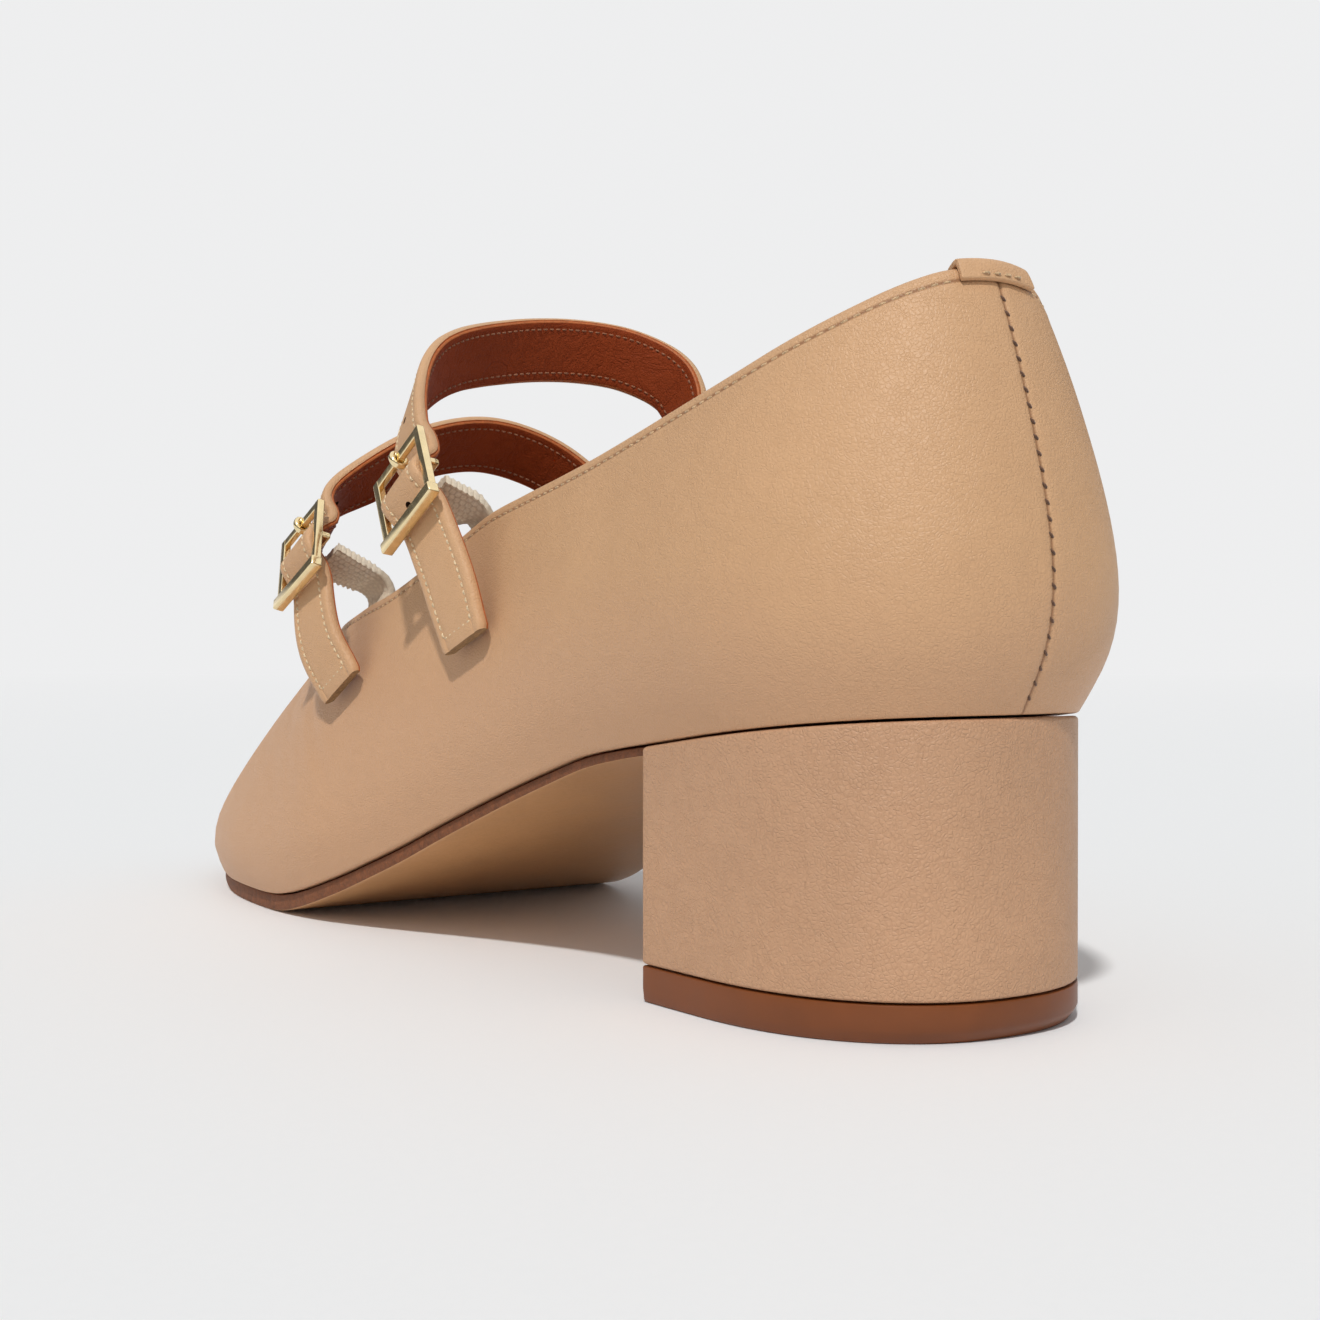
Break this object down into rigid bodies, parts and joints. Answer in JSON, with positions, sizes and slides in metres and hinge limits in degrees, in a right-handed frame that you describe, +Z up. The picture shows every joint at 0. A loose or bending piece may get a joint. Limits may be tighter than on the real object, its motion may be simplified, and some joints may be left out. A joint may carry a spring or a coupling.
{
  "type": "mary jane pump",
  "caption": "Left-foot leather pump on a low covered block heel, with buckled straps over the instep, an open collar and a softly rounded toe.",
  "frame": {"origin": "on the floor, in the middle of the face of the top piece that the heel stands on", "axes": "+Z up; the toe points to -Y; the outer (lateral) side of this left shoe is +X"},
  "size_m": [0.0835, 0.2417, 0.1093],
  "materials": {
    "upper_leather": "smooth, semi-matt",
    "lining_leather": "matt",
    "sole_leather": "burnished",
    "top_piece_rubber": "glossy",
    "gilt_metal": "polished",
    "elastic_knit": "ribbed knit"
  },
  "bodies": {
    "root": {"upper": "upper_leather", "heel_tab": "upper_leather", "heel": "upper_leather", "rear_strap": "upper_leather", "front_strap": "upper_leather", "insole": "lining_leather", "outsole": "sole_leather", "top_piece": "top_piece_rubber", "rear_buckle": "gilt_metal", "front_buckle": "gilt_metal", "rear_prong": "gilt_metal", "front_prong": "gilt_metal", "rear_elastic": "elastic_knit", "front_elastic": "elastic_knit"}
  },
  "joints": []
}
